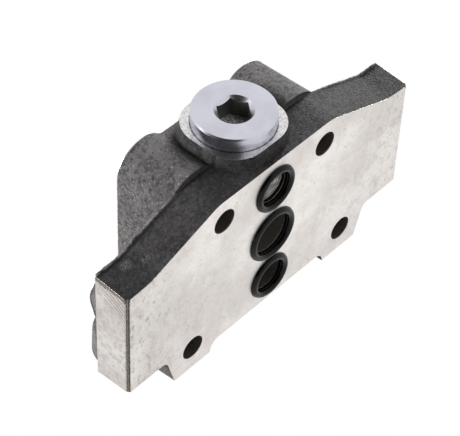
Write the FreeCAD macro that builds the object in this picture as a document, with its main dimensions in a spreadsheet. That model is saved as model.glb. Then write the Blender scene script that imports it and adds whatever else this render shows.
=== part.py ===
# Outlet section of a sectional hydraulic valve: cast iron body, screw plug and seals.
# Millimetres. The mating face is the plane Y = 0 and the body lies behind it, towards +Y.
# +Z is up and X runs along the plate. Sketches measure every height from the axis of the centre
# gallery, and at the end all pieces are placed with the origin midway between the lower tie rods.

import FreeCAD, Part
import os
import re
import Sketcher

Vector = FreeCAD.Vector

# Driving dimensions, each kept once as a plain number in the sheet. Angles are in degrees.
SIZES = {
    # cast face plate
    "plate_thickness": 13.2,
    "half_length": 64.2,
    "wing_tip_top": 20.8,
    "shoulder_half": 54.6,
    "shoulder_top": 21.6,
    "ridge_half": 25.8,
    "ridge_top": 32.3,
    "wing_underside": 22.4,
    "web_underside": 30.5,
    "foot_drop": 34.8,
    "foot_inner": 27.3,
    "foot_outer": 43.6,
    "foot_flank_angle": 16.4,
    "cast_draft": 4.0,
    "ridge_round": 13.0,
    "shoulder_round": 8.0,
    "wing_round": 3.0,
    "tip_round": 1.8,
    "web_round": 4.0,
    "edge_strip": 0.9,
    "cut_allowance": 1.2,
    "foot_allowance": 2.4,
    # rear block
    "section_width": 35.0,
    "lobe_wall": 6.9,
    "valley_angle": 44.0,
    "valley_top": 31.0,
    "valley_round": 5.0,
    "crest_round": 8.0,
    "hip_half": 48.6,
    "hip_top": 13.5,
    "hip_round": 7.0,
    "waist_round": 4.0,
    "block_draft": 2.0,
    "web_blend": 5.0,
    "web_fade": 55.0,
    "port_boss_half": 14.9,
    "port_boss_corner": 10.8,
    "port_boss_draft": 12.0,
    "port_boss_root": 1.9,
    # rear of the wings
    "pad_inset": 13.7,
    "pad_drop": 0.8,
    "pad_radius": 8.0,
    "pad_reach": 8.3,
    "pad_round": 1.8,
    "pillar_inset": 12.2,
    "pillar_depth": 14.6,
    "pillar_radius": 9.6,
    "pillar_top": 11.5,
    "pillar_round": 2.0,
    # tie rod holes
    "tie_hole": 8.8,
    "upper_tie_half": 22.95,
    "upper_tie_rise": 23.5,
    "lower_tie_half": 35.55,
    "lower_tie_drop": 25.15,
    # galleries
    "upper_gallery_rise": 20.6,
    "lower_gallery_drop": 19.8,
    "side_gallery_bore": 11.5,
    "centre_gallery_bore": 14.5,
    "lower_gallery_depth": 24.0,
    "upper_gallery_depth": 2.5,
    "drill_point_angle": 59.0,
    "seat_depth": 1.2,
    # ports
    "port_depth": 18.0,
    "spot_face_rise": 37.1,
    "thread_major": 20.955,
    "tapping_drill": 18.6,
    "thread_length": 10.5,
    "port_chamfer": 0.8,
    "thread_runout": 6.5,
    "passage_bore": 14.5,
    "rear_thread_length": 13.0,
    "rear_runout": 3.5,
    "rear_spot_radius": 15.0,
    "rear_spot_depth": 0.5,
    # screw plug
    "collar_diameter": 27.0,
    "collar_height": 5.0,
    "collar_chamfer": 0.5,
    "shank_length": 10.0,
    "shank_chamfer": 1.0,
    "undercut_width": 2.0,
    "undercut_depth": 1.2,
    "socket_flats": 10.0,
    "socket_depth": 7.5,
    "socket_mouth": 12.8,
    "socket_turn": -5.0,
    "thread_clearance": 0.05,
    "plug_ring_outer": 25.0,
    "plug_ring_width": 1.9,
    "plug_ring_height": 1.5,
    # seal rings
    "ring_section": 2.5,
    "side_ring_inside": 12.0,
    "centre_ring_inside": 15.0,
    "ring_clearance": 0.1,
}

doc = FreeCAD.newDocument("valve_outlet_section")
sheet = doc.addObject("Spreadsheet::Sheet", "Sizes")
for row, (alias, value) in enumerate(SIZES.items(), start=1):
    sheet.set(f"A{row}", alias)
    sheet.set(f"B{row}", str(value))
    sheet.setAlias(f"B{row}", alias)
doc.recompute()


# Two places closer than this are the same place, in mm
SAME_PLACE = 0.01
# A feature has to add or remove at least this volume, in mm3
LEAST_CHANGE = 0.1
# Drawn length of the lines that turned features go round, in mm
AXIS_SPAN = 9


# Shared helpers
def formula(text):
    """Write a formula in the sheet's names the way sketches and features want it."""
    return re.sub(r"[a-z_]+", lambda word: f"Sizes.{word[0]}" if word[0] in SIZES else word[0], text)


def evaluate(text):
    """The present value of a formula in the sheet's names."""
    result = sheet.evalExpression(formula(text))
    return getattr(result, "Value", result)


def new_body(label):
    body = doc.addObject("PartDesign::Body", label)
    body.Label = label
    return body


def new_sketch(body, name, role, offset="0"):
    """A sketch on one of the body's own origin planes, moved along its normal by a formula."""
    sketch = body.newObject("Sketcher::SketchObject", name)
    plane = next(item for item in body.Origin.OriginFeatures if item.Role == role)
    sketch.AttachmentSupport = [(plane, "")]
    sketch.MapMode = "FlatFace"
    sketch.setExpression("AttachmentOffset.Base.z", formula(offset))
    return sketch


def dimension(sketch, kind, geometry, point, text):
    """One dimension of a sketch, bound to a formula."""
    place = (geometry, point) if point else (geometry,)
    index = sketch.addConstraint(Sketcher.Constraint(kind, *place, evaluate(text)))
    sketch.setExpression(f"Constraints[{index}]", formula(text))


def draw_outline(sketch, corners):
    """A closed outline of straight lines. Each corner is (x, y) or (x, y, rounding), as formulas."""
    first = sketch.GeometryCount
    count = len(corners)
    places = [Vector(evaluate(corner[0]), evaluate(corner[1]), 0) for corner in corners]
    for index in range(count):
        sketch.addGeometry(Part.LineSegment(places[index - 1], places[index]), False)
    for index in range(count):
        following = first + (index + 1) % count
        sketch.addConstraint(Sketcher.Constraint("Coincident", first + index, 2, following, 1))
    for index, corner in enumerate(corners):
        dimension(sketch, "DistanceX", first + index, 2, corner[0])
        dimension(sketch, "DistanceY", first + index, 2, corner[1])
    for index, corner in enumerate(corners):
        if len(corner) == 3:
            sketch.fillet(first + index, 2, evaluate(corner[2]), True, True)
            dimension(sketch, "Radius", sketch.GeometryCount - 2, 0, corner[2])


def mirrored(corners):
    """The right half of an outline, bottom to top, continued by its mirror image."""
    return corners + [(f"-({corner[0]})", *corner[1:]) for corner in reversed(corners)]


def draw_circle(sketch, across, up, radius):
    """A circle at (across, up), all as formulas."""
    centre = Vector(evaluate(across), evaluate(up), 0)
    circle = sketch.addGeometry(Part.Circle(centre, Vector(0, 0, 1), evaluate(radius)), False)
    dimension(sketch, "DistanceX", circle, 3, across)
    dimension(sketch, "DistanceY", circle, 3, up)
    dimension(sketch, "Radius", circle, 0, radius)


def upright_axis(sketch, across):
    """A construction line that stands at a given depth in a sketch on the plane X = 0."""
    foot = evaluate(across)
    axis = sketch.addGeometry(Part.LineSegment(Vector(foot, 0, 0), Vector(foot, AXIS_SPAN, 0)), True)
    sketch.addConstraint(Sketcher.Constraint("Vertical", axis))
    dimension(sketch, "DistanceX", axis, 1, across)


def level_axis(sketch, up):
    """A construction line that lies at a given height in a sketch on the plane X = 0."""
    height = evaluate(up)
    axis = sketch.addGeometry(Part.LineSegment(Vector(0, height, 0), Vector(AXIS_SPAN, height, 0)), True)
    sketch.addConstraint(Sketcher.Constraint("Horizontal", axis))
    dimension(sketch, "DistanceY", axis, 1, up)


def pad(body, name, sketch, length, taper="0"):
    """Extrude a sketch against its normal, with a taper where the mould needs draft."""
    feature = body.newObject("PartDesign::Pad", name)
    feature.Profile = sketch
    feature.Reversed = True
    feature.setExpression("Length", formula(length))
    feature.setExpression("TaperAngle", formula(taper))
    doc.recompute()
    if feature.Shape.isNull() or not feature.Shape.isValid():
        raise RuntimeError(f"{name} fails: {feature.State}")


def pocket(body, name, sketch, length, midplane=False):
    """Cut along a sketch's normal. A cut that removes nothing is an error."""
    before = body.Shape.Volume
    feature = body.newObject("PartDesign::Pocket", name)
    feature.Profile = sketch
    feature.Midplane = midplane
    feature.setExpression("Length", formula(length))
    doc.recompute()
    if body.Shape.Volume > before - LEAST_CHANGE:
        raise RuntimeError(f"{name} cuts nothing")
    return feature


def turned(body, kind, name, sketch, axis):
    """Revolve a half section about a line of its own sketch: kind is Revolution or Groove."""
    before = body.Shape.Volume if body.Tip else 0
    feature = body.newObject(f"PartDesign::{kind}", name)
    feature.Profile = sketch
    feature.ReferenceAxis = (sketch, [axis])
    feature.Angle = 360
    doc.recompute()
    if abs(body.Shape.Volume - before) < LEAST_CHANGE:
        raise RuntimeError(f"{name} changes nothing")


def edges_where(shape, test):
    """Names of the edges that pass a test of their own shape."""
    return [f"Edge{number}" for number, edge in enumerate(shape.Edges, start=1) if test(edge)]


def dress(body, kind, name, base, test, size_name, expression):
    """Fillet or Chamfer every edge of the base that passes the test."""
    names = edges_where(base.Shape, test)
    if not names:
        raise RuntimeError(f"{name} finds no edge")
    feature = body.newObject(f"PartDesign::{kind}", name)
    feature.Base = (base, names)
    feature.setExpression(size_name, formula(expression))
    doc.recompute()


# Cast body. Sketches on the face plane have x along the plate and y upwards, and their normal is -Y.
body = new_body("outlet_body")

# Places on the casting that several features share
GROWTH = "plate_thickness * tan(cast_draft * 1 deg)"
FLANK = "tan(foot_flank_angle * 1 deg)"
LOBE = "(tie_hole / 2 + lobe_wall)"
SIDE = f"(upper_tie_half + {LOBE})"
LOBE_TOP = f"(upper_tie_rise + {LOBE})"
SLOPE = "((ridge_top - shoulder_top) / (shoulder_half - ridge_half))"
RAW_FOOT = "(foot_drop + foot_allowance)"


def face_plate():
    """The plate behind the mating face: ridge, sloping shoulders, two wings and two feet."""
    half = [
        ("foot_inner", "-web_underside", "web_round"),
        ("foot_inner", f"-{RAW_FOOT}"),
        (f"foot_outer - foot_allowance * {FLANK}", f"-{RAW_FOOT}"),
        (f"foot_outer + (foot_drop - wing_underside) * {FLANK}", "-wing_underside", "wing_round"),
        ("half_length + cut_allowance", "-wing_underside", "tip_round + cut_allowance"),
        ("half_length + cut_allowance", "wing_tip_top"),
        ("shoulder_half", "shoulder_top", "shoulder_round"),
        ("ridge_half", "ridge_top", "ridge_round"),
    ]
    outline = new_sketch(body, "plate_outline", "XZ_Plane")
    draw_outline(outline, mirrored(half))
    pad(body, "face_plate", outline, "plate_thickness", "cast_draft")


def wing_webs():
    """The concave blend between the back of each wing and the side of the rear block."""
    outer = f"({SIDE} + web_blend)"
    inner = f"({SIDE} - 3 * web_blend)"
    profile = new_sketch(body, "web_profile", "XZ_Plane", "-plate_thickness")
    for side in ("", "-"):
        draw_outline(profile, [
            (f"{side}{inner}", "-wing_underside"),
            (f"{side}{outer}", "-wing_underside"),
            (f"{side}{outer}", f"ridge_top - ({outer} - ridge_half) * {SLOPE}"),
            (f"{side}{inner}", f"ridge_top - ({inner} - ridge_half) * {SLOPE}"),
        ])
    pad(body, "wing_webs", profile, "web_blend", "-web_fade")
    hollow = new_sketch(body, "web_hollow_circle", "XY_Plane")
    for side in ("", "-"):
        draw_circle(hollow, f"{side}{outer}", "plate_thickness + web_blend", "web_blend")
    pocket(body, "web_hollows", hollow, "4 * foot_drop", midplane=True)


def rear_block():
    """The block behind the plate: a lobe round each tie rod, a waist, and the feet carried on back."""
    valley = "(valley_angle * 1 deg)"
    crest = f"(upper_tie_half - {LOBE} * tan({valley} / 2))"
    half = [
        (f"foot_inner - {GROWTH}", f"-(web_underside + {GROWTH})", "web_round"),
        (f"foot_inner - {GROWTH}", f"-{RAW_FOOT}"),
        (f"foot_outer - foot_allowance * {FLANK} + {GROWTH}", f"-{RAW_FOOT}"),
        ("hip_half", "-hip_top", "hip_round"),
        (SIDE, "-hip_top", "waist_round"),
        (SIDE, LOBE_TOP, LOBE),
        (crest, LOBE_TOP, "crest_round"),
        (f"{crest} - ({LOBE_TOP} - valley_top) / tan({valley})", "valley_top", "valley_round"),
    ]
    outline = new_sketch(body, "block_outline", "XZ_Plane", "-plate_thickness")
    draw_outline(outline, mirrored(half))
    pad(body, "rear_block", outline, "section_width - plate_thickness", "-block_draft")


def port_boss():
    """The rounded square boss of the top port, widening downwards, milled flat at the spot face."""
    outline = new_sketch(body, "port_boss_outline", "XY_Plane", "spot_face_rise")
    corner = "port_boss_corner"
    draw_outline(outline, mirrored([
        ("port_boss_half", "port_depth - port_boss_half", corner),
        ("port_boss_half", "port_depth + port_boss_half", corner),
    ]))
    pad(body, "port_boss", outline, "spot_face_rise - valley_top + port_boss_root", "port_boss_draft")


def wing_backs():
    """Behind each wing: a round pad at gallery height and a half-round pillar standing on the underside."""
    pads = new_sketch(body, "wing_pad_circles", "XZ_Plane", "-plate_thickness")
    for side in ("", "-"):
        draw_circle(pads, f"{side}(half_length - pad_inset)", "-pad_drop", "pad_radius")
    pad(body, "wing_pads", pads, "pad_reach", "-cast_draft")
    pillar_height = "(wing_underside - pillar_top)"
    narrowing = f"{pillar_height} * tan(block_draft * 1 deg)"
    for side in ("", "-"):
        section = new_sketch(body, "pillar_section", "YZ_Plane", f"{side}(half_length - pillar_inset)")
        draw_outline(section, [
            ("pillar_depth", "-wing_underside"),
            ("pillar_depth + pillar_radius", "-wing_underside"),
            (f"pillar_depth + pillar_radius - {narrowing}", "-pillar_top", "pillar_round"),
            ("pillar_depth", "-pillar_top"),
        ])
        upright_axis(section, "pillar_depth")
        turned(body, "Revolution", "pillar", section, "Axis0")

    def rim_of_pad(edge):
        back = evaluate("plate_thickness + pad_reach")
        return abs(edge.BoundBox.YMin - back) < SAME_PLACE and abs(edge.BoundBox.YMax - back) < SAME_PLACE

    dress(body, "Fillet", "pad_rims", body.Tip, rim_of_pad, "Radius", "pad_round")


def machine_outside():
    """Mill the feet and the ends flat, and leave the raw bevel between each end and the mating face."""
    feet = new_sketch(body, "foot_cut_area", "XY_Plane", "-foot_drop")
    draw_outline(feet, [
        ("-half_length", "-section_width"),
        ("half_length", "-section_width"),
        ("half_length", "2 * section_width"),
        ("-half_length", "2 * section_width"),
    ])
    pocket(body, "foot_cut", feet, "3 * foot_allowance")
    ends = new_sketch(body, "end_cut_area", "XZ_Plane")
    for side in ("", "-"):
        draw_outline(ends, [
            (f"{side}half_length", "-foot_drop"),
            (f"{side}(half_length + 3 * cut_allowance)", "-foot_drop"),
            (f"{side}(half_length + 3 * cut_allowance)", "foot_drop"),
            (f"{side}half_length", "foot_drop"),
        ])
    ends_cut = pocket(body, "end_cut", ends, "section_width")

    def front_edge_of_end(edge):
        box = edge.BoundBox
        on_end = abs(abs(box.XMin) - evaluate("half_length")) < SAME_PLACE
        return on_end and box.YMax < SAME_PLACE and box.ZLength > evaluate("wing_tip_top")

    dress(body, "Chamfer", "raw_bevels", ends_cut, front_edge_of_end, "Size", "edge_strip")


def tie_holes():
    """Four holes right through, for the rods that clamp the sections together."""
    circles = new_sketch(body, "tie_hole_circles", "XZ_Plane")
    for side in ("", "-"):
        draw_circle(circles, f"{side}upper_tie_half", "upper_tie_rise", "tie_hole / 2")
        draw_circle(circles, f"{side}lower_tie_half", "-lower_tie_drop", "tie_hole / 2")
    pocket(body, "tie_holes", circles, "section_width + ring_section")


DRILL_POINT = "tan(drill_point_angle * 1 deg)"
SEAT_MARGIN = "ring_section + ring_clearance"


def gallery(name, rise, ring_inside, bore, depth):
    """A gallery drilled square to the mating face, with the flat seat of its seal ring."""
    section = new_sketch(body, f"{name}_section", "YZ_Plane")
    draw_outline(section, [
        ("-ring_section", rise),
        ("-ring_section", f"{rise} + {ring_inside} / 2 + {SEAT_MARGIN}"),
        ("seat_depth", f"{rise} + {ring_inside} / 2 + {SEAT_MARGIN}"),
        ("seat_depth", f"{rise} + {bore} / 2"),
        (depth, f"{rise} + {bore} / 2"),
        (f"{depth} + {bore} / 2 / {DRILL_POINT}", rise),
    ])
    level_axis(section, rise)
    turned(body, "Groove", name, section, "Axis0")


def top_port():
    """The threaded port under the plug, drilled on down into the centre gallery."""
    section = new_sketch(body, "top_port_section", "YZ_Plane")
    thread = "port_depth + thread_major / 2"
    draw_outline(section, [
        ("port_depth", "spot_face_rise + port_chamfer"),
        (f"{thread} + port_chamfer", "spot_face_rise + port_chamfer"),
        (f"{thread} + port_chamfer", "spot_face_rise"),
        (thread, "spot_face_rise - port_chamfer"),
        (thread, "spot_face_rise - thread_length"),
        ("port_depth + tapping_drill / 2", "spot_face_rise - thread_length"),
        ("port_depth + tapping_drill / 2", "spot_face_rise - thread_length - thread_runout"),
        ("port_depth + passage_bore / 2", "spot_face_rise - thread_length - thread_runout"),
        ("port_depth + passage_bore / 2", "0"),
        ("port_depth", f"-passage_bore / 2 / {DRILL_POINT}"),
    ])
    upright_axis(section, "port_depth")
    turned(body, "Groove", "top_port", section, "Axis0")


def rear_port():
    """The outlet port in the rear face, on the axis of the centre gallery."""
    section = new_sketch(body, "rear_port_section", "YZ_Plane")
    face = "section_width - rear_spot_depth"
    draw_outline(section, [
        ("section_width + port_chamfer", "0"),
        ("section_width + port_chamfer", "rear_spot_radius"),
        (face, "rear_spot_radius"),
        (face, "thread_major / 2 + port_chamfer"),
        (f"{face} - port_chamfer", "thread_major / 2"),
        (f"{face} - rear_thread_length", "thread_major / 2"),
        (f"{face} - rear_thread_length", "tapping_drill / 2"),
        (f"{face} - rear_thread_length - rear_runout", "tapping_drill / 2"),
        (f"{face} - rear_thread_length - rear_runout", "0"),
    ])
    turned(body, "Groove", "rear_port", section, "H_Axis")


face_plate()
wing_webs()
rear_block()
port_boss()
wing_backs()
machine_outside()
tie_holes()
side = ("side_ring_inside", "side_gallery_bore")
gallery("upper_gallery", "upper_gallery_rise", *side, "upper_gallery_depth")
gallery("centre_gallery", "0", "centre_ring_inside", "centre_gallery_bore", "port_depth")
gallery("lower_gallery", "-lower_gallery_drop", *side, "lower_gallery_depth")
top_port()
rear_port()


# Screw plug in the top port
plug = new_body("port_plug")
SHANK = "(thread_major / 2 - thread_clearance)"
RECESS = "(plug_ring_outer / 2 + ring_clearance)"


def turned_plug():
    """Collar, seal recess, undercut and threaded shank as one turned piece on the port's axis."""
    section = new_sketch(plug, "plug_section", "YZ_Plane")
    outline = [
        ("0", "collar_height"),
        ("collar_diameter / 2 - collar_chamfer", "collar_height"),
        ("collar_diameter / 2", "collar_height - collar_chamfer"),
        ("collar_diameter / 2", "0"),
        (RECESS, "0"),
        (RECESS, "plug_ring_height"),
        ("thread_major / 2 - undercut_depth", "plug_ring_height"),
        ("thread_major / 2 - undercut_depth", "-undercut_width"),
        (SHANK, "-undercut_width"),
        (SHANK, "-(shank_length - shank_chamfer)"),
        (f"{SHANK} - shank_chamfer", "-shank_length"),
        ("0", "-shank_length"),
    ]
    draw_outline(section, [(f"port_depth + {across}", f"spot_face_rise + {up}") for across, up in outline])
    upright_axis(section, "port_depth")
    turned(plug, "Revolution", "turned_plug", section, "Axis0")


def hexagon_socket():
    """The hexagon socket with its turned mouth."""
    corner = "socket_flats / 2 / cos(30 deg)"
    flats = new_sketch(plug, "socket_hexagon", "XY_Plane", "spot_face_rise + collar_height")
    turns = [f"({angle} deg + socket_turn * 1 deg)" for angle in range(0, 360, 60)]
    draw_outline(flats, [(f"{corner} * cos{turn}", f"port_depth + {corner} * sin{turn}") for turn in turns])
    pocket(plug, "socket", flats, "socket_depth")
    mouth = new_sketch(plug, "socket_mouth_section", "YZ_Plane")
    draw_outline(mouth, [
        ("port_depth", "spot_face_rise + collar_height"),
        ("port_depth + socket_mouth / 2", "spot_face_rise + collar_height"),
        ("port_depth", "spot_face_rise + collar_height - socket_mouth / 2"),
    ])
    upright_axis(mouth, "port_depth")
    turned(plug, "Groove", "socket_countersink", mouth, "Axis0")


turned_plug()
hexagon_socket()

# Soft seal ring in the recess under the plug's collar
plug_ring = new_body("plug_seal")
ring_section = new_sketch(plug_ring, "plug_ring_section", "YZ_Plane")
draw_outline(ring_section, [
    ("port_depth + plug_ring_outer / 2 - plug_ring_width", "spot_face_rise"),
    ("port_depth + plug_ring_outer / 2", "spot_face_rise"),
    ("port_depth + plug_ring_outer / 2", "spot_face_rise + plug_ring_height"),
    ("port_depth + plug_ring_outer / 2 - plug_ring_width", "spot_face_rise + plug_ring_height"),
])
upright_axis(ring_section, "port_depth")
turned(plug_ring, "Revolution", "plug_ring_turned", ring_section, "Axis0")


# Seal rings of the galleries, each resting on the floor of its seat
def seal_ring(label, rise, inside):
    ring = doc.addObject("Part::Torus", label)
    ring.Label = label
    ring.setExpression("Radius1", formula(f"({inside} + ring_section) / 2"))
    ring.setExpression("Radius2", formula("ring_section / 2"))
    ring.Placement = FreeCAD.Placement(Vector(0, 0, 0), FreeCAD.Rotation(Vector(1, 0, 0), 90))
    ring.setExpression("Placement.Base.y", formula("seat_depth - ring_section / 2"))
    ring.setExpression("Placement.Base.z", formula(f"lower_tie_drop + {rise}"))
    return ring


seals = [
    seal_ring("upper_gallery_seal", "upper_gallery_rise", "side_ring_inside"),
    seal_ring("centre_gallery_seal", "0", "centre_ring_inside"),
    seal_ring("lower_gallery_seal", "-lower_gallery_drop", "side_ring_inside"),
]
sub_parts = [body, plug, plug_ring, *seals]
for part in (body, plug, plug_ring):
    part.setExpression("Placement.Base.z", formula("lower_tie_drop"))
doc.recompute()

# Check the whole document, then write each sub-part
for item in doc.Objects:
    if "Invalid" in item.State or "Error" in item.State:
        raise RuntimeError(f"{item.Name} failed: {item.State}")

for part in sub_parts:
    if part.Shape.isNull() or not part.Shape.isValid():
        raise RuntimeError(f"{part.Label} has no valid shape")

os.makedirs("parts", exist_ok=True)
for part in sub_parts:
    part.Shape.exportStep(f"parts/{part.Label}.step")
    box = part.Shape.optimalBoundingBox()
    size = f"{box.XLength:.2f} x {box.YLength:.2f} x {box.ZLength:.2f} mm"
    print(f"{part.Label}: {size}, {part.Shape.Volume:.0f} mm3")
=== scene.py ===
# %% [markdown]
# # The outlet section of a sectional valve
# The part is a sand casting with a few milled and drilled surfaces, a plated screw plug and black
# seal rings. Its shape is already in the frame, so this lesson is mostly about telling raw skin
# from cut metal on one solid, and about the small things a casting has and a drawing has not.

# %% Load the frame
import math

import bmesh
import bpy
from mathutils import Matrix, Vector, noise


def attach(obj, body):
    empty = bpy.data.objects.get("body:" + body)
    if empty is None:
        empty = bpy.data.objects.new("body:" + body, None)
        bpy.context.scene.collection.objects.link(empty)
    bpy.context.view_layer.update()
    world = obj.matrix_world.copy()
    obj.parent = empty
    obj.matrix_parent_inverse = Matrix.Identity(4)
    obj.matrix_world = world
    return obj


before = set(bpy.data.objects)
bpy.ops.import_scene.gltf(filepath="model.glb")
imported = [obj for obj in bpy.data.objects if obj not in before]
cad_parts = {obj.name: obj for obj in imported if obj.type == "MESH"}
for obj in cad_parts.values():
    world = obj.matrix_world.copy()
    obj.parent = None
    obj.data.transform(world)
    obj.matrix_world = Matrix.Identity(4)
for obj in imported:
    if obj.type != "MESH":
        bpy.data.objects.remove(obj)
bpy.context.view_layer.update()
MM = 0.001
print("nodes:", ", ".join(sorted(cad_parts)))

# %% [markdown]
# The drawing of the casting measures heights from the axis of the centre gallery, while the frame's
# origin lies midway between the lower tie rods. One constant joins the two. The places below, in
# millimetres, decide which surface is cut and which is raw. They could be read from the mesh, but
# a mesh doesn't say what a face is for, so they are written down as the drawing has them.

# %% The drawing's places
GALLERY_AXIS = 25.15
SPOT_FACE = GALLERY_AXIS + 37.1
FOOT_PLANE = GALLERY_AXIS - 34.8
END_PLANE = 64.2
END_TOP = GALLERY_AXIS + 20.8
REAR_PLANE = 35.0
PARTING_PLANE = 13.2
PORT_DEPTH = 18.0
TIE_RODS = [(-35.55, 0.0), (35.55, 0.0), (-22.95, 48.65), (22.95, 48.65)]
TIE_RADIUS = 4.4
print("spot face at", round(SPOT_FACE, 2), "mm, feet at", round(FOOT_PLANE, 2), "mm")

# %% The galleries: height, middle radius of the seal ring, radius of the bore
GALLERIES = {
    "upper_gallery_seal": (45.75, 6.0, 5.75),
    "centre_gallery_seal": (25.15, 7.5, 7.25),
    "lower_gallery_seal": (5.35, 6.0, 5.75),
}
print("galleries:", ", ".join(GALLERIES))

# %% [markdown]
# Shader maths reads best as arithmetic. The class below holds one output of a node, and each
# operator adds the Math node that does that sum, so that 1 - mask is a Subtract node. The nodes
# could be added and linked one by one, but then nobody sees the sum. Colours go through Mix nodes
# instead, because a Math node would turn them grey.

# %% Sums on sockets
class Wire:
    """One output socket, with arithmetic that adds nodes."""

    def __init__(self, owner, socket):
        self.owner = owner
        self.socket = socket

    def sum(self, operation, *values):
        return self.owner.node("ShaderNodeMath", {"operation": operation}, *values)

    def __add__(self, other):
        return self.sum("ADD", self, other)

    def __radd__(self, other):
        return self.sum("ADD", other, self)

    def __sub__(self, other):
        return self.sum("SUBTRACT", self, other)

    def __rsub__(self, other):
        return self.sum("SUBTRACT", other, self)

    def __mul__(self, other):
        return self.sum("MULTIPLY", self, other)

    def __rmul__(self, other):
        return self.sum("MULTIPLY", other, self)

    def __pow__(self, other):
        return self.sum("POWER", self, other)

    def __rpow__(self, other):
        return self.sum("POWER", other, self)

    def __or__(self, other):
        return self.sum("MAXIMUM", self, other)

    def __ror__(self, other):
        return self.sum("MAXIMUM", other, self)

    def __and__(self, other):
        return self.sum("MINIMUM", self, other)

    def __rand__(self, other):
        return self.sum("MINIMUM", other, self)

    def __lt__(self, other):
        return self.sum("LESS_THAN", self, other)

    def __gt__(self, other):
        return self.sum("GREATER_THAN", self, other)

    def __abs__(self):
        return self.sum("ABSOLUTE", self)

    def wave(self):
        return self.sum("SINE", self)

    def ease(self, low, high):
        """0 below low, 1 above high, a soft step between."""
        smooth = {"interpolation_type": "SMOOTHSTEP"}
        return self.owner.node("ShaderNodeMapRange", smooth, self, low, high)


print("1 - mask and its like now add Math nodes")

# %% [markdown]
# Every node except the sums comes from one method, which takes the node's type, its settings and
# what goes into its sockets in order. Materials, the floor and the room are all trees of nodes, so
# the method belongs to a tree, and none of them needs its own way of making nodes.

# %% One way to make a node
class Tree:
    """A node tree that adds each node with its settings, values and links."""

    def __init__(self, node_tree):
        self.tree = node_tree

    def node(self, kind, settings, *values, out=0, **named):
        made = self.tree.nodes.new(kind)
        for setting, value in settings.items():
            setattr(made, setting, value)
        for key, value in [*enumerate(values), *named.items()]:
            self.plug(made.inputs[key], value)
        return Wire(self, made.outputs[out])

    def plug(self, socket, value):
        if isinstance(value, Wire):
            self.tree.links.new(value.socket, socket)
        else:
            socket.default_value = value

    def wires(self, made, *names):
        """Several outputs of the node that a wire comes from."""
        outputs = made.socket.node.outputs
        return [Wire(self, outputs[name]) for name in names]


print("a tree makes and links nodes")

# %% [markdown]
# A finish is one material with its Principled shader. It could be painted on an unwrapped surface,
# but rust and cuts follow the piece and not its unwrapping, so everything is worked out from the
# position in millimetres.

# %% One material at a time
MIX_COLOURS = (6, 7)
MIX_RESULT = 2


class Finish(Tree):
    """A node-based material for one kind of surface."""

    def __init__(self, name):
        self.material = bpy.data.materials.new(name)
        self.material.use_nodes = True
        super().__init__(self.material.node_tree)
        self.shader = self.tree.nodes["Principled BSDF"]
        place = self.node("ShaderNodeTexCoord", {}, out="Object")
        self.place = self.node("ShaderNodeVectorMath", {"operation": "SCALE"}, place, Scale=1 / MM)
        self.x, self.y, self.z = self.wires(self.node("ShaderNodeSeparateXYZ", {}, self.place), "X", "Y", "Z")

    def join(self, x, y, z):
        return self.node("ShaderNodeCombineXYZ", {}, x, y, z)

    def grain(self, scale, detail=2.0, place=None, roughness=0.5, distortion=0.0):
        """Noise between 0 and 1, with scale in waves per millimetre."""
        return self.node(
            "ShaderNodeTexNoise", {}, Vector=place or self.place, Scale=scale, Detail=detail,
            Roughness=roughness, Distortion=distortion,
        )

    def blend(self, mask, first, second):
        """The first colour where the mask is 0, the second where it is 1."""
        made = self.node("ShaderNodeMix", {"data_type": "RGBA"}, Factor=mask, out=MIX_RESULT)
        for index, colour in zip(MIX_COLOURS, (first, second)):
            value = colour if isinstance(colour, Wire) else (*colour, 1)
            self.plug(made.socket.node.inputs[index], value)
        return made

    def bump(self, height, depth):
        """A normal from a height, where 1 stands for a depth in millimetres."""
        return self.node("ShaderNodeBump", {}, Strength=1.0, Distance=depth * MM, Height=height)

    def set(self, **values):
        """Fills the shader's sockets, with _ for a space in a name."""
        for name, value in values.items():
            if isinstance(value, tuple):
                value = (*value, 1)
            self.plug(self.shader.inputs[name.replace("_", " ")], value)


def dress(name, material):
    """Gives a solid of the frame its finish."""
    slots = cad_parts[name].data.materials
    slots.clear()
    slots.append(material)
    print(name, "wears", material.name)


# %% [markdown]
# A mask is a number from 0 to 1 over the surface. These helpers read, measure and join masks.

# %% Helpers for masks
def between(mask, low, high):
    """low where the mask is 0, high where it is 1."""
    return low + mask * (high - low)


def distance(across, up, place_across, place_up):
    """How far a point is from an axis."""
    dx = across - place_across
    dy = up - place_up
    return (dx * dx + dy * dy) ** 0.5


def any_of(masks):
    """1 where at least one of the masks is 1."""
    joined, *others = masks
    for mask in others:
        joined = joined | mask
    return joined


print("halfway from 2 to 4:", between(0.5, 2, 4))

# %% [markdown]
# The casting is one solid with one material, because the mill and the drill went over the same
# piece of iron. Its faces could be given two materials, but the edge between them would be a
# perfect line, and a cut never ends in one on a sandy skin. So the material itself finds the cut
# metal. Each cut surface is a plane or a cylinder of the drawing, a test on the position finds it
# exactly, and the tests near an edge get a little noise.

# %% Where the casting was cut
SEAT_HALF_WIDTH = 10.3
GALLERIES_LOW = GALLERY_AXIS - 29
GALLERIES_HIGH = GALLERY_AXIS + 29.6
GALLERIES_END = 30
REAR_PORT_RADIUS = 15.05
REAR_PORT_START = 20
TOP_PORT_RADIUS = 11.5
TOP_PORT_LOW = GALLERY_AXIS - 12


def spot_mask(finish):
    """1 on the milled ring round the plug."""
    return finish.z > SPOT_FACE - 0.02


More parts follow.
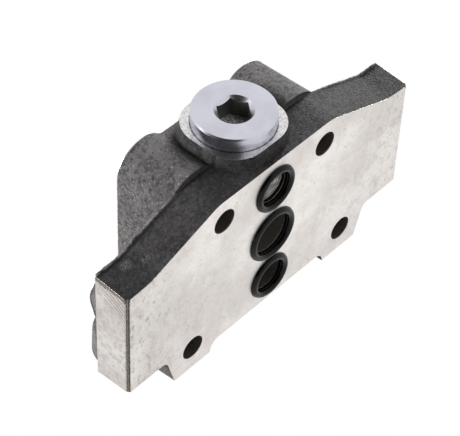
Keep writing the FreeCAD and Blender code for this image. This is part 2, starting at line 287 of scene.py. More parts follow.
def cut_mask(finish):
    """1 on milled and drilled metal, 0 on raw skin."""
    x, y, z = finish.x, finish.y, finish.z
    ragged = finish.grain(1.2, 3.0) * 0.5
    core = (abs(x) < SEAT_HALF_WIDTH) & (z > GALLERIES_LOW) & (z < GALLERIES_HIGH) & (y < GALLERIES_END)
    rear = (distance(x, z, 0, GALLERY_AXIS) < REAR_PORT_RADIUS) & (y > REAR_PORT_START)
    top = (distance(x, y, 0, PORT_DEPTH) < TOP_PORT_RADIUS) & (z > TOP_PORT_LOW)
    tie_holes = [distance(x, z, *rod) < TIE_RADIUS + 0.05 for rod in TIE_RODS]
    front_face = y < ragged * 0.4 - 0.06
    rear_face = y > REAR_PLANE + 0.04 - ragged * 0.8
    ends = abs(x) > END_PLANE + 0.04 - ragged * 0.6
    feet = z < FOOT_PLANE + ragged * 0.5
    return any_of([core, rear, top, *tie_holes, front_face, rear_face, spot_mask(finish), ends, feet])


print("galleries lie from", round(GALLERIES_LOW, 2), "to", round(GALLERIES_HIGH, 2), "mm")

# %% The walls of the deep bores
DRILLED_START = 1.62
DRILLED_DEPTH = 28.0
TIE_HOLE_START = 0.35
DEEP_GALLERIES = ("centre_gallery_seal", "lower_gallery_seal")


def bore_oil_and_shade_mask(finish):
    """1 inside the deep bores, whose walls are painted dark, partly as oil and partly as painted shade."""
    x, y, z = finish.x, finish.y, finish.z
    walls = []
    for height, _, bore in (GALLERIES[name] for name in DEEP_GALLERIES):
        in_bore = distance(x, z, 0, height) < bore + 0.02
        walls.append(in_bore & (y > DRILLED_START) & (y < DRILLED_DEPTH))
    for rod in TIE_RODS:
        in_bore = distance(x, z, *rod) < TIE_RADIUS + 0.05
        walls.append(in_bore & (y > TIE_HOLE_START) & (y < REAR_PLANE - 0.3))
    return any_of(walls)


print("deep bores:", len(DEEP_GALLERIES) + len(TIE_RODS))

# %% [markdown]
# Raw skin is dark brown-grey. The half in front of the mould joint came out darker than the one
# behind it, the boss is as dark as the front, and the skin is paler low down and under the feet. In
# each saddle beside the boss the skin gets painted light: it is painted paler. Each could be a
# material of its own, but on the iron they run into each other, so the tones are laid over each other
# by height and depth.

# %% Tones of the raw skin
FRONT_TONES = (0.029, 0.026, 0.027), (0.060, 0.055, 0.057)
REAR_TONES = (0.092, 0.086, 0.088), (0.172, 0.162, 0.162)
LOW_TONE = (0.235, 0.220, 0.205)
SADDLE_PAINTED_LIGHT_TONE = (0.240, 0.228, 0.228)
UNDERSIDE_TONE = (0.190, 0.180, 0.168)


def rear_half(finish):
    """1 on the skin behind the mould joint, apart from the boss."""
    behind = finish.y.ease(PARTING_PLANE - 0.2, PARTING_PLANE + 0.4)
    near_port = 1 - distance(finish.x, finish.y, 0, PORT_DEPTH).ease(17.5, 21)
    return behind * (1 - near_port * finish.z.ease(SPOT_FACE - 8, SPOT_FACE - 5))


def skin_tone(finish, patches, behind):
    """The skin's colour before sand and wear, with painted light in each saddle beside the boss."""
    x, z = finish.x, finish.z
    low_down = 1 - z.ease(2, 46)
    # Painted light: each saddle beside the boss is painted paler.
    saddle_painted_light = abs(x).ease(14, 19) * (1 - abs(x).ease(24, 30)) * z.ease(46, 52)
    underside = 1 - z.ease(-2.5, 0.5)
    rear_tone = finish.blend(patches, *REAR_TONES)
    rear_tone = finish.blend(low_down * 0.45, rear_tone, LOW_TONE)
    rear_tone = finish.blend(saddle_painted_light * 0.4, rear_tone, SADDLE_PAINTED_LIGHT_TONE)
    tone = finish.blend(behind, finish.blend(patches, *FRONT_TONES), rear_tone)
    return finish.blend(underside * 0.75, tone, UNDERSIDE_TONE)


print("skin changes at the mould joint,", PARTING_PLANE, "mm behind the mating face")

# %% [markdown]
# Each grain of the mould leaves a dent, and grains that burned on stay as pale crumbs. The top of
# the left wing was knocked twice, and along the ends a thin strip of skin stayed between two cuts.
# One noise could stand for all the wear, but each kind has its own size and place, so each is laid
# on by itself.

# %% Sand, crumbs and knocks
SAND_TONE = (0.27, 0.26, 0.255)
PIT_TONE = (0.010, 0.009, 0.009)
SCUFF_TONE = (0.24, 0.24, 0.24)
KNOCK_TONE = (0.36, 0.36, 0.365)
CRUMB_TONE = (0.50, 0.49, 0.48)
SALT_TONE = (0.85, 0.84, 0.82)
RIDGE_SHADOW_TONE = (0.008, 0.007, 0.007)
STRIP_TONE = (0.31, 0.27, 0.22)
STRIP_WIDTH = 0.95
KNOCKS = [((-55.5, 9.5), 0.8, 2.6), ((-50.2, 6.2), 0.5, 1.8)]


def knocked(finish):
    """Two knocks on the top of the left wing, where metal shows through the skin."""
    spots = [1 - distance(finish.x, finish.y, *place).ease(inner, outer) for place, inner, outer in KNOCKS]
    marks = finish.grain(0.8, 5.0, roughness=0.8, distortion=2.5).ease(0.50, 0.58)
    return any_of(spots) * finish.z.ease(38, 40) * marks


def raw_skin(finish):
    """Colour and relief of the cast skin, with a painted shadow in front of the mould ridge."""
    x, y = finish.x, finish.y
    behind = rear_half(finish)
    patches = finish.grain(0.09, 4.0, roughness=0.65).ease(0.36, 0.64)
    sand = finish.grain(0.95, 5.0, roughness=0.8)
    pits = 1 - finish.grain(0.6, 4.0, roughness=0.8).ease(0.38, 0.50)
    crumbs = finish.grain(1.0, 3.0, roughness=0.75).ease(0.61, 0.68)
    scuffs = finish.grain(0.30, 6.0, roughness=0.85, distortion=3.0).ease(0.61, 0.70)
    salt = finish.grain(1.5, 2.0, roughness=0.6).ease(0.66, 0.70) * finish.grain(0.12, 2.0).ease(0.46, 0.60)
    # Painted shadow: a dark line just in front of the mould ridge.
    painted_ridge_shadow = 1 - abs(y - (PARTING_PLANE - 1.0)).ease(0.25, 0.70)
    strip = (abs(x) > END_PLANE - STRIP_WIDTH) & (y < STRIP_WIDTH)
    middle = 1 - abs(y - 0.45 + (sand - 0.5) * 0.6).ease(0.10, 0.34)
    tone = skin_tone(finish, patches, behind)
    tone = finish.blend(sand.ease(0.46, 0.62) * (0.20 + behind * 0.40), tone, SAND_TONE)
    tone = finish.blend(pits * 0.6, tone, PIT_TONE)
    tone = finish.blend(scuffs * 0.30, tone, SCUFF_TONE)
    tone = finish.blend(knocked(finish) * 0.75, tone, KNOCK_TONE)
    tone = finish.blend(crumbs * (0.18 + behind * 0.45), tone, CRUMB_TONE)
    tone = finish.blend(salt * behind * 0.85, tone, SALT_TONE)
    tone = finish.blend(painted_ridge_shadow * 0.7, tone, RIDGE_SHADOW_TONE)
    tone = finish.blend(strip * middle * 0.9, tone, STRIP_TONE)
    height = sand * 1.2 + patches * 0.5 + crumbs * 0.3 - pits * 0.35
    return tone, height


print("knocks on the left wing:", len(KNOCKS))

# %% [markdown]
# Milled iron is bright and slightly warm. Coolant, hands and a little rust leave blurred stains,
# more of them near the ends, where the part is picked up. One flat grey would look like plastic,
# so noises from about 30 mm down to under 1 mm are laid over a pale ground, each of them weakly.

# %% Stains on milled iron
IRON_TONES = (0.800, 0.758, 0.722), (0.965, 0.928, 0.895)
HANDLED_TONE = (0.52, 0.475, 0.445)
STREAK_TONE = (0.50, 0.46, 0.43)
SMUDGE_TONE = (0.52, 0.445, 0.405)
MOTTLE_TONE = (0.43, 0.395, 0.365)
FINE_TONE = (0.44, 0.42, 0.40)


def stained(finish, streaks, smudges, mottle):
    """Bright iron under its stains."""
    clouds = finish.grain(0.030, 4.0, roughness=0.55)
    fine = finish.grain(1.5, 2.0)
    handled = (abs(finish.x) - finish.z * 0.35).ease(12, 52)
    # Darker towards the bottom.
    darker_low_down = 1 - finish.z.ease(-6, 16)
    tone = finish.blend(clouds.ease(0.40, 0.60), *IRON_TONES)
    tone = finish.blend(handled * 0.22, tone, HANDLED_TONE)
    tone = finish.blend(streaks.ease(0.48, 0.70) * 0.10, tone, STREAK_TONE)
    tone = finish.blend(darker_low_down * 0.20, tone, HANDLED_TONE)
    tone = finish.blend(smudges.ease(0.49, 0.63) * (0.17 + handled * 0.18), tone, SMUDGE_TONE)
    tone = finish.blend(mottle.ease(0.47, 0.62) * (0.12 + handled * 0.10), tone, MOTTLE_TONE)
    return finish.blend(fine.ease(0.45, 0.70) * 0.10, tone, FINE_TONE)


print("bright iron:", IRON_TONES[1])

# %% [markdown]
# A cut opens hollows of the skin near its edges. They show as dark dents near both ends of the
# mating face, and as a ragged rim along the strip where the skin begins. They could be cut into the
# mesh, but they are too shallow to see as a shape, so they are colour.

# %% Dents and the ragged rim
DENT_TONE = (0.22, 0.20, 0.17)
RIM_TONE = (0.13, 0.11, 0.09)


def worn_rim(finish, tone, mottle):
    """Dents and rim over a tone. The rim is weaker on the right."""
    x, y, z = finish.x, finish.y, finish.z
    near_ends = (0 - x).ease(34, 60) + x.ease(40, 62) * 0.8
    dents = finish.grain(0.34, 4.0, finish.join(x * 1.3, y, z * 0.7), 0.75).ease(0.55, 0.63)
    tone = finish.blend(dents * near_ends * (1 - y.ease(0.2, 0.5)) * 0.50, tone, DENT_TONE)
    ragged = mottle * 0.9 - 0.3
    rim = ((abs(x) + ragged) > END_PLANE - STRIP_WIDTH) & (y < 0.3)
    rim = rim | ((abs(x) > END_PLANE - 0.02) & (y < STRIP_WIDTH + ragged))
    return finish.blend(rim * (0.75 - (x > 0) * 0.60), tone, RIM_TONE)


print("strip of skin along the ends:", STRIP_WIDTH, "mm wide")

# %% [markdown]
# A face mill left curved marks on the ends. They are arcs round one centre, so a sine of the
# distance from it draws them, and the mottle makes them wander. A Wave node could draw rings too,
# but it can't be given this centre and this wander as plainly. Along the top edge the skin tore, and
# the dark ragged line there is partly skin that tore and partly painted shadow under the burr.

# %% The milled ends
ARC_CENTRE = (18.9, 18.6)
ARC_TURN_PER_MM = 4.05
ARC_TONE = (0.20, 0.175, 0.155)
END_MOTTLE_TONE = (0.42, 0.38, 0.35)
TORN_EDGE_AND_SHADOW_TONE = (0.060, 0.045, 0.035)
END_TONE = (0.40, 0.37, 0.34)


def end_face(finish, tone, smudges, mottle):
    """The tone with the marks of the ends, and the arcs for the relief."""
    x, y, z = finish.x, finish.y, finish.z
    on_end = abs(x) > END_PLANE - 0.02
    sweep = (distance(y, z, *ARC_CENTRE) * ARC_TURN_PER_MM + mottle * 1.6).wave()
    top_of_end = (z - y * 0.9).ease(GALLERY_AXIS + 2, GALLERY_AXIS + 13)
    arcs = on_end * sweep.ease(-0.2, 0.8) * top_of_end
    # Partly ragged skin, partly painted shadow under the burr: a dark line along the top of the ends and at
    # their front corner.
    torn_edge_and_shadow = (z + (mottle * 1.8 + smudges * 0.8)).ease(END_TOP + 0.30, END_TOP + 0.70)
    corner_reach = distance(abs(x), distance(y, z, 0, END_TOP), END_PLANE, 0) - mottle * 2.2
    skin_edge_and_shadow = (on_end * torn_edge_and_shadow) | (corner_reach < 0.35)
    tone = finish.blend(arcs * 0.72, tone, ARC_TONE)
    tone = finish.blend(on_end * (mottle.ease(0.40, 0.62) * 0.45), tone, END_MOTTLE_TONE)
    tone = finish.blend(skin_edge_and_shadow * 0.85, tone, TORN_EDGE_AND_SHADOW_TONE)
    tone = finish.blend(on_end * (0.46 - z.ease(-6, 22) * 0.26), tone, END_TONE)
    return tone, arcs


print("cutter marks round", ARC_CENTRE)

# %% [markdown]
# The spot face is a small milled ring round the plug, colder than the rest and chipped by the
# cutter. The dark ring along the foot of the plug's collar is partly dirt and partly painted contact
# shadow. A thin ring of mesh could stand for it, but it has no thickness worth a shape, so it is a
# mask of the distance from the port's axis.

# %% The spot face, and all milled iron together
SPOT_TONE = (0.72, 0.72, 0.74)
CHIP_TONE = (0.36, 0.355, 0.36)
GRIME_AND_SHADOW_TONE = (0.045, 0.042, 0.038)
GRIME_AND_SHADOW_INNER = 13.35
GRIME_AND_SHADOW_OUTER = 13.65


def spot_face(finish, tone, mottle):
    """The tone with the spot face on it, with dirt and painted shadow round the collar, and the chips for the
    relief.
    """
    on_spot = spot_mask(finish)
    chips = finish.grain(1.1, 3.0, roughness=0.75)
    from_axis = distance(finish.x, finish.y, 0, PORT_DEPTH)
    # Partly dirt, partly painted contact shadow: a dark ring at the foot of the plug's collar.
    grime_and_contact_shadow = on_spot * (1 - (from_axis - mottle * 0.5).ease(GRIME_AND_SHADOW_INNER, GRIME_AND_SHADOW_OUTER))
    tone = finish.blend(on_spot * 0.7, tone, SPOT_TONE)
    tone = finish.blend(on_spot * chips.ease(0.42, 0.60) * 0.50, tone, CHIP_TONE)
    return finish.blend(grime_and_contact_shadow * 0.85, tone, GRIME_AND_SHADOW_TONE), on_spot * chips


def milled_iron(finish):
    """Colour and relief of all milled surfaces."""
    x, y, z = finish.x, finish.y, finish.z
    stretched = finish.join(x * 0.30 + z * 0.30, y * 0.3, z * 0.08 - x * 0.08)
    streaks = finish.grain(1.0, 4.0, stretched, 0.6)
    smudges = finish.grain(0.16, 5.0, roughness=0.7)
    mottle = finish.grain(0.55, 4.0, roughness=0.75)
    tone = stained(finish, streaks, smudges, mottle)
    tone = worn_rim(finish, tone, mottle)
    tone, arcs = end_face(finish, tone, smudges, mottle)
    tone, chips = spot_face(finish, tone, mottle)
    height = streaks * 0.04 + mottle * 0.08 - arcs * 0.12 + chips * 0.03
    return tone, height


print("grime round the collar out to a radius of", GRIME_AND_SHADOW_OUTER, "mm and a little more")

# %% [markdown]
# The drilled places differ from the milled ones. Bores are painted dark, partly as oil and partly as
# painted shade, a bright rim stands at each mouth, and the drill left circles on the floor of the
# blind upper gallery, whose floor and wall get painted shade. The seats of the rings get painted
# shade where the rubber lies. They could be separate pieces, but they are one iron with the rest, so
# position finds them, as it does the cuts.

# %% The drilled places
SEAT_START = 0.6
SEAT_FLOOR = 1.42
BLIND_WALL_END = 2.45
BLIND_END = 7
BORE_OIL_AND_SHADE_TONE = (0.155, 0.145, 0.124)
SEAT_SHADE_TONE = (0.06, 0.057, 0.053)
BLIND_SHADE_TONE = (0.10, 0.096, 0.091)
WORN_TONE = (0.36, 0.35, 0.34)
CIRCLE_TONE = (0.66, 0.64, 0.63)
WALL_SHADE_TONE = (0.03, 0.028, 0.026)


def ring_seats(finish, tone):
    """Painted shade on the seats under the seal rings, with a bright rim round each bore."""
    x, y, z = finish.x, finish.y, finish.z
    seat = (y > SEAT_START) & (abs(x) < SEAT_HALF_WIDTH) & (y < SEAT_FLOOR)
    for height, ring, bore in GALLERIES.values():
        radius = distance(x, z, 0, height)
        rim = seat & (radius < bore + 0.34)
        floor = seat & (radius < ring + 2.7)
        # Painted shade: the seat floor round each ring is darkened, and the rim by the bore is left bright.
        tone = finish.blend(floor - rim * floor, tone, SEAT_SHADE_TONE)
    return tone


def blind_gallery(finish, tone):
    """The drill's circles on the floor of the upper gallery, which gets painted shade, and darker painted
    shade on its wall.
    """
    height, _, bore = GALLERIES["upper_gallery_seal"]
    radius = distance(finish.x, finish.z, 0, height)
    blind = (radius < bore + 0.02) & (finish.y > SEAT_FLOOR) & (finish.y < BLIND_END)
    circles = (radius * 9.0 + finish.grain(0.4, 2.0) * 2.0).wave().ease(-0.4, 1.0)
    worn = finish.grain(0.18, 3.0, distortion=0.6).ease(0.42, 0.64)
    # Painted shade: the blind gallery is darkened, its wall near the mouth most.
    tone = finish.blend(blind, tone, BLIND_SHADE_TONE)
    tone = finish.blend(blind * worn * 0.45, tone, WORN_TONE)
    tone = finish.blend(blind * circles * (0.18 + worn * 0.37), tone, CIRCLE_TONE)
    return finish.blend(blind & (finish.y < BLIND_WALL_END), tone, WALL_SHADE_TONE)


print("blind gallery's wall from", SEAT_FLOOR, "to", BLIND_WALL_END, "mm")

# %% [markdown]
# Now the casting gets its one material. The cut mask chooses between skin and iron in colour,
# relief, roughness and metal, so nothing is metal that still wears its skin.

# %% The casting's finish
def casting_finish():
    """Raw skin and cut iron on one solid."""
    finish = Finish("cast_iron")
    cut = cut_mask(finish)
    bores = bore_oil_and_shade_mask(finish)
    raw_tone, raw_height = raw_skin(finish)
    cut_tone, cut_height = milled_iron(finish)
    # Partly oil, partly painted shade: the deep bores are painted dark.
    cut_tone = finish.blend(bores, cut_tone, BORE_OIL_AND_SHADE_TONE)
    cut_tone = blind_gallery(finish, ring_seats(finish, cut_tone))
    finish.set(
        Base_Color=finish.blend(cut, raw_tone, cut_tone),
        Metallic=cut - bores * 0.4,
        Roughness=between(cut, 0.62, 0.36) + bores * 0.15 - spot_mask(finish) * 0.18,
        Specular_IOR_Level=0.3,
        Normal=finish.bump(between(cut, raw_height, cut_height), 0.5),
    )
    return finish.material


dress("outlet_body", casting_finish())

# %% [markdown]
# The plug is turned steel with bright zinc plating, which has a cold blue cast. Turning leaves
# very fine circles on its face. The hexagon socket gets painted shade, so it is dark, with a
# scratched floor. Socket and plug are one solid, so here too the position tells them apart.

# %% The plug's finish
PLUG_TOP = SPOT_FACE + 5.0
CONE_MOUTH = 6.4
SOCKET_RADIUS = 6.2
SOCKET_DEPTH = 7.4
PLATED_TONES = (0.545, 0.545, 0.615), (0.61, 0.61, 0.68)
TURNED_TONE = (0.48, 0.48, 0.55)
SOCKET_SHADE_TONE = (0.150, 0.150, 0.132)
SCRATCHED_TONES = (0.30, 0.30, 0.29), (0.88, 0.88, 0.87)


def plug_finish():
    """Zinc outside, painted shade in the socket."""
    finish = Finish("zinc_steel")
    radius = distance(finish.x, finish.y, 0, PORT_DEPTH)
    rings = finish.grain(1.0, 3.0, finish.join(radius * 3, 0.0, finish.z * 2))
    cloud = finish.grain(0.10, 3.0)
    scratches = finish.grain(0.9, 4.0, roughness=0.7, distortion=1.0)
    socket = (radius < SOCKET_RADIUS) & (radius - finish.z > CONE_MOUTH - PLUG_TOP + 0.05)
    floor = (radius < SOCKET_RADIUS) & (finish.z < PLUG_TOP - SOCKET_DEPTH)
    tone = finish.blend(cloud.ease(0.3, 0.7), *PLATED_TONES)
    tone = finish.blend(rings.ease(0.4, 0.75) * 0.15, tone, TURNED_TONE)
    # Painted shade: the socket's walls are darkened.
    tone = finish.blend(socket, tone, SOCKET_SHADE_TONE)
    finish.set(
        Base_Color=finish.blend(floor, tone, finish.blend(scratches.ease(0.4, 0.6), *SCRATCHED_TONES)),
        Metallic=1.0 - socket * 0.3,
        Roughness=0.20 + 0.08 * cloud + socket * 0.25,
        Normal=finish.bump(rings * 0.6 + cloud, 0.03),
    )
    return finish.material


dress("port_plug", plug_finish())

# %% [markdown]
# Seal rings are moulded from black rubber. New ones are smooth with a dull sheen and pick up dust.
# One black all over would hide their form, so a weak noise of dust lifts it a little.

# %% The rubber
RUBBER_TONES = (0.003, 0.003, 0.0034), (0.022, 0.021, 0.020)


def rubber_finish():
    """Black rubber with a little dust."""
    finish = Finish("seal")
    dust = finish.grain(0.8, 4.0).ease(0.5, 0.8)
    finish.set(
        Base_Color=finish.blend(dust * 0.5, *RUBBER_TONES),
        Roughness=0.22 + 0.15 * dust,
        Specular_IOR_Level=0.18,
        Normal=finish.bump(finish.grain(4.0, 2.0), 0.02),
    )
    return finish.material


rubber = rubber_finish()
for name in [*GALLERIES, "plug_seal"]:
    dress(name, rubber)

# %% [markdown]
# Where the two halves of the mould met, a little iron ran into the joint. It stands along the back
# edge of the plate as a thin uneven ridge. Its path is the plate's own outline. That could be typed
# in again from the drawing, but a section through the casting just in front of the joint gives it
# exactly, blends and all.

# %% A section through the casting
WELD_DISTANCE = 1e-6
PLANE_TOLERANCE = 1e-7


def section_edges(solid, depth):
    """The edges where a solid, open in bmesh, meets a plane at a depth in millimetres."""
    bmesh.ops.remove_doubles(solid, verts=solid.verts, dist=WELD_DISTANCE)
    found = bmesh.ops.bisect_plane(
        solid, geom=[*solid.verts, *solid.edges, *solid.faces], dist=PLANE_TOLERANCE,
        plane_co=(0, depth * MM, 0), plane_no=(0, 1, 0),
    )
    return {item for item in found["geom_cut"] if isinstance(item, bmesh.types.BMEdge)}


def section_loops(depth):
    """The closed outlines of the casting's section at a depth, as lists of (x, z) in millimetres."""
    solid = bmesh.new()
    solid.from_mesh(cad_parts["outlet_body"].data)
    edges = section_edges(solid, depth)
    loops = []
    while edges:
        start, vert = edges.pop().verts
        loop = [start]
        while vert is not start:
            loop.append(vert)
            following = next((item for item in vert.link_edges if item in edges), None)
            if following is None:
                break
            edges.remove(following)
            vert = following.other_vert(vert)
        loops.append([(item.co.x / MM, item.co.z / MM) for item in loop])
    solid.free()
    return loops


print("outlines at the mould joint:", len(section_loops(PARTING_PLANE - 0.05)))

# %% [markdown]
# A section finds its edges in an order that changes from run to run. The ridge has to be the same
# each time, so an outline always begins at its lowest point, on a foot where no ridge stands, and
# runs anticlockwise, with the outside on its right.

# %% Outline of the plate at the mould joint
SHORTEST_STEP = 0.02


def pairs(loop):
    """Each point of a closed outline with the next one."""
    return zip(loop, loop[1:] + loop[:1])


def begun_low(loop):
    """The same outline from its lowest point and anticlockwise, in whatever order it was found."""
    low = loop.index(min(loop, key=lambda point: (point[1], point[0])))
    loop = loop[low:] + loop[:low]
    turns_left = sum(x0 * z1 - x1 * z0 for (x0, z0), (x1, z1) in pairs(loop)) > 0
    return loop if turns_left else loop[:1] + loop[:0:-1]


def evenly(loop, spacing):
    """The same closed outline with a point every so many millimetres."""
    points = []
    for (x0, z0), (x1, z1) in pairs(begun_low(loop)):
        count = max(1, round(math.dist((x0, z0), (x1, z1)) / spacing))
        points += [(x0 + (x1 - x0) * step / count, z0 + (z1 - z0) * step / count) for step in range(count)]
    return [point for point, after in pairs(points) if math.dist(point, after) > SHORTEST_STEP]


outline = evenly(max(section_loops(PARTING_PLANE - 0.05), key=len), 0.45)
print("plate outline:", len(outline), "points")

# %% [markdown]
# A ridge is a row of small cross-sections joined by faces. A bevelled curve would do nearly the
# same, but its section can't swell and shrink as spilled iron does. So each section takes its
# height and width from noise, and the ridge is low near the boss and full on the free wings.

# %% Where the ridge stands
BOSS_HALF_WIDTH = 16.6
FREE_FROM = 33.0
FREE_OVER = 7.0
LOW_SHARE = 0.18
FREE_SHARE = 0.82


def carries_ridge(x, z):
    """The ridge was milled off the ends and the feet, and the boss stands in its way."""
    on_end = abs(x) > END_PLANE - 0.5
    on_foot = z < FOOT_PLANE + 0.3
    on_boss = abs(x) < BOSS_HALF_WIDTH and z > GALLERY_AXIS + 20
    return not (on_end or on_foot or on_boss)


def ridge_share(x):
    """How much of its height a ridge has at a place across the part."""
    free = min(1.0, max(0.0, (abs(x) - FREE_FROM) / FREE_OVER))
    return LOW_SHARE + FREE_SHARE * free


print("the ridge stands at", sum(carries_ridge(x, z) for x, z in outline), "points")

# %% The ridge's sections and faces
SECTION_POINTS = 7
RIDGE_ROOT = 0.25


def ridge_ring(path, index, depth, height, half_width):
    """One cross-section of a thin ridge, from front to back."""
    x, z = path[index]
    before = path[index - 2]
    after = path[(index + 2) % len(path)]
    along = Vector((after[0] - before[0], after[1] - before[1])).normalized()
    outward = Vector((along.y, -along.x))
    wobble = noise.noise(Vector((x * 0.35, z * 0.35, depth)))
    tremble = noise.noise(Vector((x * 1.4, z * 1.4, depth + 5.0)))
    top = height * ridge_share(x) * (1 + 0.45 * wobble + 0.45 * tremble)
    width = half_width * (1 + 0.25 * tremble)
    middle = depth + 0.25 * half_width * wobble
    ring = []
    for step in range(SECTION_POINTS):
        turn = math.pi * step / (SECTION_POINTS - 1)
        rise = math.sin(turn) * (top + RIDGE_ROOT) - RIDGE_ROOT
        ring.append((x + outward.x * rise, middle - math.cos(turn) * width, z + outward.y * rise))
    return ring


def thin_ridge(path, carries, depth, height, half_width):
    """Points and faces of a ridge along an outline, wherever the casting carries it."""
    verts, faces = [], []
    previous = False
    for index, (x, z) in enumerate(path):
        here = carries(x, z)
        if here:
            base = len(verts)
            back = base - SECTION_POINTS
            verts += ridge_ring(path, index, depth, height, half_width)
            if previous:
                faces += [(back + k, back + k + 1, base + k + 1, base + k) for k in range(SECTION_POINTS - 1)]
                faces.append((base - 1, back, base, base + SECTION_POINTS - 1))
            else:
                faces.append(tuple(range(base, base + SECTION_POINTS)))
        elif previous:
            faces.append(tuple(reversed(range(len(verts) - SECTION_POINTS, len(verts)))))
        previous = here
    return verts, faces


def solid_piece(name, verts, faces, material, slot):
    """A mesh piece of the part, given in millimetres."""
    mesh = bpy.data.meshes.new(name)
    mesh.from_pydata([(x * MM, y * MM, z * MM) for x, y, z in verts], [], faces)
    mesh.validate()
    mesh.materials.append(material)
    for polygon in mesh.polygons:
        polygon.use_smooth = True
    piece = bpy.data.objects.new(name, mesh)
    bpy.context.scene.collection.objects.link(piece)
    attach(piece, "root")
    print(name, "has", len(faces), "faces")


# %% [markdown]
# Iron that ran into the joint has a thin skin, paler where the part is handled, partly rubbed and
# partly a painted highlight. It gets its own finish, because the casting's tests on position know
# nothing of what stands out from it.

# %% The ridge and its finish
RIDGE_TONES = (0.060, 0.056, 0.056), (0.36, 0.35, 0.345)


def ridge_finish():
    """Thin dark skin, paler on the wings and round the rear face, partly from rubbing and partly as a painted
    highlight.
    """
    finish = Finish("mould_ridge")
    rubbed = finish.grain(0.5, 5.0, roughness=0.8)
    handled = abs(finish.x).ease(31, 39) | (finish.y > REAR_PLANE - 1)
    # Partly wear, partly painted highlight: the ridge and burr are paler in patches.
    pale = rubbed.ease(0.38, 0.60) * between(handled, 0.25, 1.0)
    finish.set(
        Base_Color=finish.blend(pale, *RIDGE_TONES),
        Roughness=0.50 + 0.2 * rubbed,
        Specular_IOR_Level=0.3,
        Normal=finish.bump(rubbed, 0.3),
    )
    return finish.material


rubbed_and_highlit_iron = ridge_finish()
ridge = thin_ridge(outline, carries_ridge, PARTING_PLANE, height=0.52, half_width=0.45)
solid_piece("mould_ridge", *ridge, rubbed_and_highlit_iron, "cast_iron")

# %% [markdown]
# The mill that cut the rear face pushed a little iron over its edge. This burr follows the outline
# of the rear face, so the same ridge is drawn again, smaller, along a section just inside that face.

# %% The burr round the rear face
def carries_burr(x, z):
    """The burr runs round the lobes and the hips, and was filed off at the feet."""
    return z > FOOT_PLANE + 1.0


rear_outline = evenly(max(section_loops(REAR_PLANE - 0.25), key=len), 0.35)
burr = thin_ridge(rear_outline, carries_burr, REAR_PLANE - 0.24, height=0.30, half_width=0.22)
solid_piece("rear_burr", *burr, rubbed_and_highlit_iron, "cast_iron")

# %% [markdown]
# The rear port takes a half inch pipe fitting, fourteen turns to the inch. In the drawing its
# thread is a plain cylinder, as is usual. Seen from behind the turns catch the light, so here the
# ridge between two grooves is wound into the port as one long band. A Screw modifier could wind it
# too, but its turns wouldn't run out at both ends, as cut ones do.

# %% Winding the rear port's thread
THREAD_PITCH = 1.814
THREAD_HEIGHT = 1.1
THREAD_RADIUS = 10.4775
THREAD_START = 22.6
THREAD_END = 32.8
TURN_STEPS = 60
thread_steps = round((THREAD_END - THREAD_START) / THREAD_PITCH * TURN_STEPS)


def thread_section(step):
    """The four corners of the ridge at one step of the winding."""
    angle = 2 * math.pi * step / TURN_STEPS
    depth = THREAD_START + THREAD_PITCH * step / TURN_STEPS
    fade = min(1.0, 2 * step / TURN_STEPS, 2 * (thread_steps - step) / TURN_STEPS)
    crest = THREAD_RADIUS - THREAD_HEIGHT * fade
    root = THREAD_RADIUS + 0.05
    half = THREAD_PITCH * 0.48
    flat = THREAD_PITCH * 0.07
    corners = ((-half, root), (-flat, crest), (flat, crest), (half, root))
    return [(r * math.cos(angle), depth + along, GALLERY_AXIS + r * math.sin(angle)) for along, r in corners]


def wound_thread():
    """Points and faces of the whole band, closed at both ends."""
    verts, faces = [], [(3, 2, 1, 0)]
    for step in range(thread_steps + 1):
        verts += thread_section(step)
    last = 4 * thread_steps
    for low in range(0, last, 4):
        faces += [(low + k, low + (k + 1) % 4, low + 4 + (k + 1) % 4, low + 4 + k) for k in range(4)]
    return verts, [*faces, (last, last + 1, last + 2, last + 3)]


print("thread:", round(thread_steps / TURN_STEPS, 2), "turns")

# %% The rear port's thread
OILY_IRON_TONES = (0.52, 0.49, 0.46), (0.30, 0.28, 0.25)


def thread_finish():
    """Cut iron, a little oily in the grooves."""
    finish = Finish("cut_thread")
    oil = finish.grain(0.4, 3.0)
    finish.set(
        Base_Color=finish.blend(oil.ease(0.40, 0.65), *OILY_IRON_TONES),
        Metallic=1.0,
        Roughness=0.32 + 0.12 * oil,
        Normal=finish.bump(oil, 0.05),
    )
    return finish.material


solid_piece("rear_thread", *wound_thread(), thread_finish(), "cast_iron")

# %% [markdown]
# The studio begins with its floor. In the photograph the background is pure white, yet the part
# has to stand on something. More light on the floor would also be more light on the part. So the
# floor is two things: the camera, metal and glass see plain white, and the light that falls on the
# part meets a pale dull table.

# %% The floor
FLOOR_HALF = 1.5
FLOOR_SHADE = 0.85
FLOOR_CORNERS = [(-1, -1), (1, -1), (1, 1), (-1, 1)]


def seen_mask(tree):
    """1 for what the camera, metal and glass see, 0 for all other light."""
    paths = tree.node("ShaderNodeLightPath", {})
    return any_of(tree.wires(paths, "Is Camera Ray", "Is Glossy Ray", "Is Transmission Ray"))


def plain_white(name, shade):
    """White to look at, plain diffuse for the light that falls on the part."""
    finish = Finish(name)
    finish.set(Base_Color=(shade, shade, shade), Roughness=0.9)
    dull = Wire(finish, finish.shader.outputs["BSDF"])
    white = finish.node("ShaderNodeEmission", {})
    mixed = finish.node("ShaderNodeMixShader", {}, seen_mask(finish), dull, white)
    finish.plug(finish.tree.nodes["Material Output"].inputs["Surface"], mixed)
    return finish.material


def stage_piece(name, verts, material):
    """A flat sheet of the studio, which isn't part of the object."""
    mesh = bpy.data.meshes.new(name)
    mesh.from_pydata(verts, [], [tuple(range(len(verts)))])
    mesh.materials.append(material)
    piece = bpy.data.objects.new(name, mesh)
    bpy.context.scene.collection.objects.link(piece)
    print(name, "with", len(verts), "corners")


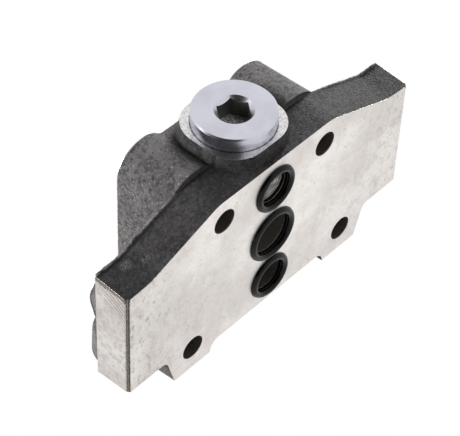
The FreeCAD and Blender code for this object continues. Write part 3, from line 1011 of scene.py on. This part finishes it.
floor_corners = [(x * FLOOR_HALF, y * FLOOR_HALF, FOOT_PLANE * MM) for x, y in FLOOR_CORNERS]
stage_piece("floor", floor_corners, plain_white("floor_white", FLOOR_SHADE))

# %% [markdown]
# The room is plain white. The camera, metal and glass see it at full white, and as a light it is
# weaker, so that the part keeps its own colours.

# %% The room
ROOM_LEVEL = 0.55
world = bpy.data.worlds.new("room")
world.use_nodes = True
bpy.context.scene.world = world
room = Tree(world.node_tree)
background = room.tree.nodes["Background"]
background.inputs["Color"].default_value = (1, 1, 1, 1)
room.plug(background.inputs["Strength"], between(seen_mask(room), ROOM_LEVEL, 1.0))
print("room level as a light:", ROOM_LEVEL)

# %% [markdown]
# White all round makes plated metal look like paper. A photographer sets a dark card beside the
# camera, and turned metal shows it as the dark bands that give it its shape. The card here is a
# real one: a round sheet of dark cloth that stands behind the camera and a little to its left. It
# belongs to the studio, as the floor does, and everything in the scene sees it.

# %% The dark card
CARD_SIDE = Vector((-0.62, -0.12, 0.77)).normalized()
CARD_DISTANCE = 1.1
CARD_RADIUS = 0.85
CARD_CORNERS = 48
CLOTH_TONE = (0.03, 0.03, 0.03)


def dark_cloth():
    """Dull dark cloth, the same all over."""
    finish = Finish("card_cloth")
    finish.set(Base_Color=CLOTH_TONE, Roughness=0.95, Specular_IOR_Level=0.1)
    return finish.material


def round_rim(centre, radius, towards):
    """The corners of a flat round sheet that faces a direction."""
    across = towards.orthogonal().normalized()
    upward = towards.cross(across)
    turns = [2 * math.pi * step / CARD_CORNERS for step in range(CARD_CORNERS)]
    return [centre + radius * (math.cos(turn) * across + math.sin(turn) * upward) for turn in turns]


stage_piece("dark_card", round_rim(CARD_SIDE * CARD_DISTANCE, CARD_RADIUS, -CARD_SIDE), dark_cloth())
print("card radius:", CARD_RADIUS, "m at", CARD_DISTANCE, "m")

# %% [markdown]
# Two soft lamps stand left and right behind the part, where no flat surface throws them straight
# at the camera. They model the lobes without clipping the milled iron to white. One lamp at the
# camera would be simpler, but the whole mating face would mirror it.

# %% The lamps
LAMPS = {
    "left_lamp": (Vector((-0.84, 0.52, 0.26)), 9.5),
    "right_lamp": (Vector((0.92, 0.38, 0.24)), 7.0),
}
LAMP_SIZE = 0.4
LAMP_AIM = Vector((0, 0.015, 0.02))


def soft_lamp(name, place, power):
    """An area lamp that looks at the part."""
    lamp = bpy.data.lights.new(name, "AREA")
    lamp.shape = "DISK"
    lamp.size = LAMP_SIZE
    lamp.energy = power
    stand = bpy.data.objects.new(name, lamp)
    stand.location = place
    stand.rotation_euler = (LAMP_AIM - place).to_track_quat("-Z", "Y").to_euler()
    bpy.context.scene.collection.objects.link(stand)
    print(name, power, "W")


for name, (place, power) in LAMPS.items():
    soft_lamp(name, place, power)

# %% [markdown]
# The camera stands where the photographer's stood. It could be turned by eye until the picture
# fits, but through a long lens many places look nearly the same. So the focal length, place and
# axes were worked out beforehand, from points that the drawing and the photograph share.

# %% The camera
PHOTO_WIDTH = 460
FOCAL_PIXELS = 1916.06
CAMERA_PLACE = (-0.31544, -0.25460, 0.47029)
CAMERA_RIGHT = (0.67871695, -0.73371731, 0.03165768)
CAMERA_UP = (0.52504972, 0.51492867, 0.67762176)
CAMERA_BACK = (-0.51348426, -0.44329152, 0.73472889)
camera_data = bpy.data.cameras.new("camera")
camera_data.sensor_width = 36.0
camera_data.lens = FOCAL_PIXELS * camera_data.sensor_width / PHOTO_WIDTH
camera_data.clip_start = 0.01
camera_data.clip_end = 20
camera = bpy.data.objects.new("camera", camera_data)
camera_turn = Matrix((CAMERA_RIGHT, CAMERA_UP, CAMERA_BACK)).transposed().to_4x4()
camera.matrix_world = Matrix.Translation(CAMERA_PLACE) @ camera_turn
bpy.context.scene.collection.objects.link(camera)
bpy.context.scene.camera = camera
bpy.context.scene.view_settings.view_transform = "Standard"
print("camera lens:", round(camera_data.lens, 2))
